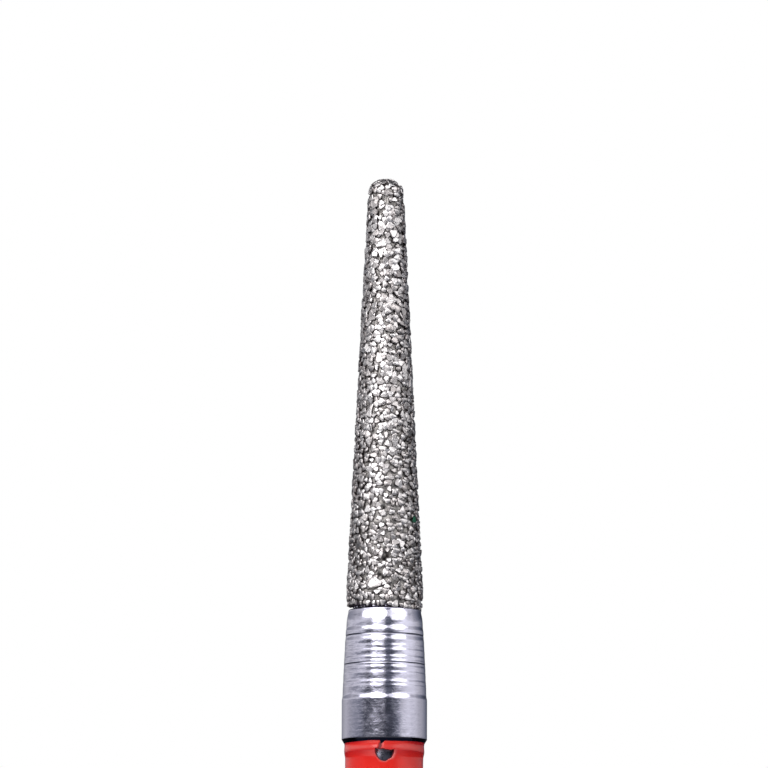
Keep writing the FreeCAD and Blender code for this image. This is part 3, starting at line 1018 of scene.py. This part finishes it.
def studio_dome(material):
    """A dome 0.6 m from the bur, whose lower part is a sheet laid on the floor, facing inwards.

    A point's distance is the dome's radius, or less where its ray reaches the floor first. Only the
    bur's reflections see it.
    """
    turn = np.radians(np.arange(-180, 180, 1.5))[None, :]
    rise = np.radians(np.arange(-50, 90, 1.0))[:, None]
    reach = np.minimum(DOME_RADIUS, STUDIO_MIDDLE / np.maximum(np.sin(-rise), 1e-6))
    points = around(reach * np.cos(rise) + 0 * turn, turn, reach * np.sin(rise)).reshape(-1, 3)
    rows, columns = len(rise), turn.shape[1]
    level = studio_level(np.degrees(turn) + 0 * rise, np.degrees(rise) + 0 * turn).ravel()
    points = np.concatenate([points, [(0, 0, DOME_RADIUS)]]) + (0, 0, STUDIO_MIDDLE)
    faces = [
        ring_faces(rows, columns)[:, ::-1],
        pole_faces((rows - 1) * columns, columns, rows * columns, False),
    ]
    levels = {"level": np.append(level, 0.1)}
    dome = mesh_piece("studio_dome", points, faces, True, levels, material)
    dome.visible_camera = False
    dome.visible_diffuse = False
    dome.visible_shadow = False
    dome.visible_transmission = False
    dome.visible_volume_scatter = False
    return dome


def soft_lamp(name, turn, rise, width, tall, radiance):
    """A rectangle of light 0.5 m from the bur. Its watts are pi times its area times its radiance.

    Reflections don't see it, because the dome has its own lights for them.
    """
    light = bpy.data.lights.new(name, "AREA")
    light.shape = "RECTANGLE"
    light.size = width
    light.size_y = tall
    light.energy = float(np.pi * width * tall * radiance)
    lamp = bpy.data.objects.new(name, light)
    turn, rise = np.radians(turn), np.radians(rise)
    way = Vector(around(np.cos(rise), turn, np.sin(rise)))
    aim = Vector((0, 0, STUDIO_MIDDLE * MM))
    lamp.matrix_world = Matrix.LocRotScale(aim + way * LAMP_DISTANCE, way.to_track_quat("Z", "Y"), None)
    lamp.visible_camera = False
    lamp.visible_glossy = False
    bpy.context.scene.collection.objects.link(lamp)
    return lamp


def length(name, millimetres, text):
    """A property for a length, whose default is given in mm."""
    return bpy.props.FloatProperty(
        name=name, description=text, default=millimetres * MM, min=0, unit="LENGTH", precision=6,
    )


def colour(name, text_colour, text):
    """A property for a colour, whose default is an sRGB hex colour."""
    return bpy.props.FloatVectorProperty(
        name=name, description=text, default=linear(text_colour), size=4, min=0, max=1, subtype="COLOR",
    )


class LacquerSizes(bpy.types.PropertyGroup):
    film_radius: length("Film radius", 0.7345, "Radius of the lacquer between its beads")
    bead_radius: length("Bead radius", 0.7525, "Radius at the crest of each bead")
    bead_length: length("Bead length", 0.275, "Length of each bead along the axis")


class GritSizes(bpy.types.PropertyGroup):
    pitch: length("Grain pitch", 0.110, "Mean distance between neighbouring grains")
    stand_out: length("Stand-out", 0.045, "Height of the grains above the nickel")
    lean: bpy.props.FloatProperty(
        name="Lean", description="Largest lean of a grain's top, in degrees", default=23.0, min=0, max=60,
    )
    worn_share: bpy.props.FloatProperty(
        name="Worn share", description="Share of the grains whose edges are rounded",
        default=0.78, min=0, max=1,
    )
    seed: bpy.props.IntProperty(name="Seed", description="Start of the random placing", default=7, min=0)


class BurFinish(bpy.types.PropertyGroup):
    steel: colour("Steel", "#D3D1E4", "Turned stainless steel")
    # Blue-black of the groove's stain, also used for painted shade at the groove's edge and in the scored
    # lines, and for the painted shadow under the coat
    stain_and_shade: colour("Stain", "#161A2A", "Blue-black stain in the groove and under the coat")
    steel_roughness: bpy.props.FloatProperty(
        name="Steel roughness", description="Roughness of the polish", default=0.13, min=0, max=1,
    )
    lacquer: colour("Lacquer", "#F22A20", "Coloured ring")
    nickel: colour("Nickel", "#918D8B", "Plated nickel between the grains")
    grain_dark: colour("Darkest grain", "#C8C1C0", "Darkest of the grains")
    grain_light: colour("Lightest grain", "#F5F1F2", "Lightest of the grains")


class StudioSettings(bpy.types.PropertyGroup):
    floor: colour("Floor", "#F2F2F3", "Matt floor")
    fill: bpy.props.FloatProperty(
        name="Fill light", description="Level of the light from all round", default=0.13, min=0,
    )
    key: bpy.props.FloatProperty(
        name="Left soft light", description="Radiance of the left soft light", default=3.2, min=0,
    )
    side: bpy.props.FloatProperty(
        name="Right soft light", description="Radiance of the right soft light", default=1.1, min=0,
    )


class BUR_OT_blank(bpy.types.Operator):
    """Build the turned steel blank"""

    bl_idname = "bur.blank"
    bl_label = "Turned blank"

    def execute(self, context):
        piece = blank_piece(turned_stainless(context.scene.bur_finish))
        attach(piece, "root")
        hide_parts("steel_blank")
        return {"FINISHED"}


class BUR_OT_lacquer(bpy.types.Operator):
    """Build the coloured lacquer ring with its chip"""

    bl_idname = "bur.lacquer"
    bl_label = "Lacquer ring"

    def execute(self, context):
        scene = context.scene
        piece = lacquer_piece(scene.bur_lacquer, red_lacquer(scene.bur_finish))
        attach(piece, "root")
        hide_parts("colour_ring")
        return {"FINISHED"}


class BUR_OT_grit(bpy.types.Operator):
    """Build the diamond coat: the nickel bond and its grains"""

    bl_idname = "bur.grit"
    bl_label = "Diamond coat"

    def execute(self, context):
        scene = context.scene
        dice = np.random.default_rng(scene.bur_grit.seed)
        bond = bond_piece(scene.bur_grit, dice, plated_nickel(scene.bur_finish))
        grains = grain_piece(scene.bur_grit, dice, diamond_grit(scene.bur_finish))
        for piece in (bond, grains):
            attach(piece, "root")
            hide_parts("diamond_coat")
        return {"FINISHED"}


class BUR_OT_studio(bpy.types.Operator):
    """Build the floor, the lights, the world and the camera"""

    bl_idname = "bur.studio"
    bl_label = "Studio"

    def execute(self, context):
        scene = context.scene
        studio = scene.bur_studio
        corners = np.array([(-2, -2, 0), (2, -2, 0), (2, 2, 0), (-2, 2, 0)]) / MM - (0, 0, 0.01)
        face = [np.array([[0, 1, 2, 3]])]
        floor = mesh_piece("floor", corners, face, False, {}, painted_floor(studio.floor))
        dome = studio_dome(lit_cards())
        key = soft_lamp("left_soft_light", -40, 30, 0.47, 0.41, studio.key)
        side = soft_lamp("right_soft_light", 38, 25, 0.47, 0.41, studio.side)
        self.light_world(scene, studio.fill)
        self.place_camera(scene)
        scene.view_settings.view_transform = "Standard"
        return {"FINISHED"}

    def light_world(self, scene, fill):
        """Grey light from all round, and white where the camera or a mirror looks past the studio."""
        world = bpy.data.worlds.new("studio_world")
        world.use_nodes = True
        tree = world.node_tree
        tree.nodes.clear()
        path = node(tree, "ShaderNodeLightPath")
        seen = path.outputs["Is Camera Ray"]
        for ray in ("Is Glossy Ray", "Is Transmission Ray"):
            either = node(tree, "ShaderNodeMath", {0: seen, 1: path.outputs[ray]}, operation="MAXIMUM")
            seen = either.outputs["Value"]
        strength = node(tree, "ShaderNodeMix", {0: seen, 2: fill, 3: 1.0})
        backdrop = node(tree, "ShaderNodeBackground", {
            "Color": (1.0, 1.0, 1.0, 1.0), "Strength": strength.outputs[0],
        })
        node(tree, "ShaderNodeOutputWorld", {"Surface": backdrop.outputs["Background"]})
        scene.world = world

    def place_camera(self, scene):
        """Just above the floor, 125 mm off, looking up by 7.5 degrees and rolled by a sixth of one."""
        aim = Vector(CAMERA_AIM) * MM
        rise = np.radians(CAMERA_RISE)
        eye = aim + Vector((0.0, -np.cos(rise), np.sin(rise))) * (CAMERA_DISTANCE * MM)
        roll = np.radians(CAMERA_ROLL)
        back = (eye - aim).normalized()
        right = Vector((-np.sin(roll), 0.0, np.cos(roll))).cross(back).normalized()
        up = back.cross(right)
        data = bpy.data.cameras.new("photo_camera")
        data.sensor_width = SENSOR_WIDTH
        data.lens = SENSOR_WIDTH * FOCAL_PIXELS / IMAGE_PIXELS
        data.clip_start = 0.01
        data.clip_end = 20.0
        camera = bpy.data.objects.new("photo_camera", data)
        camera.matrix_world = Matrix((
            (right.x, up.x, back.x, eye.x),
            (right.y, up.y, back.y, eye.y),
            (right.z, up.z, back.z, eye.z),
            (0, 0, 0, 1),
        ))
        scene.collection.objects.link(camera)
        scene.camera = camera


class BUR_PT_sidebar(bpy.types.Panel):
    """The bur's pieces and their settings"""

    bl_idname = "BUR_PT_sidebar"
    bl_label = "Diamond bur"
    bl_space_type = "VIEW_3D"
    bl_region_type = "UI"
    bl_category = "Bur"

    def draw(self, context):
        for operator in OPERATORS:
            self.layout.operator(operator.bl_idname)
        for title in GROUPS:
            group = getattr(context.scene, title)
            box = self.layout.box()
            for name in group.__annotations__:
                box.prop(group, name)


OPERATORS = (BUR_OT_blank, BUR_OT_lacquer, BUR_OT_grit, BUR_OT_studio)
GROUPS = {
    "bur_lacquer": LacquerSizes,
    "bur_grit": GritSizes,
    "bur_finish": BurFinish,
    "bur_studio": StudioSettings,
}


def register():
    """Register the classes, and hang each group of settings on the scene."""
    for made in (*GROUPS.values(), *OPERATORS, BUR_PT_sidebar):
        bpy.utils.register_class(made)
    for title, group in GROUPS.items():
        setattr(bpy.types.Scene, title, bpy.props.PointerProperty(type=group))


def unregister():
    """Take back what register did, in the opposite order."""
    for title in GROUPS:
        delattr(bpy.types.Scene, title)
    for made in (BUR_PT_sidebar, *OPERATORS, *GROUPS.values()):
        bpy.utils.unregister_class(made)


def main():
    """Build every piece and the studio."""
    register()
    bpy.ops.bur.blank()
    bpy.ops.bur.lacquer()
    bpy.ops.bur.grit()
    bpy.ops.bur.studio()


if __name__ == "__main__":
    main()
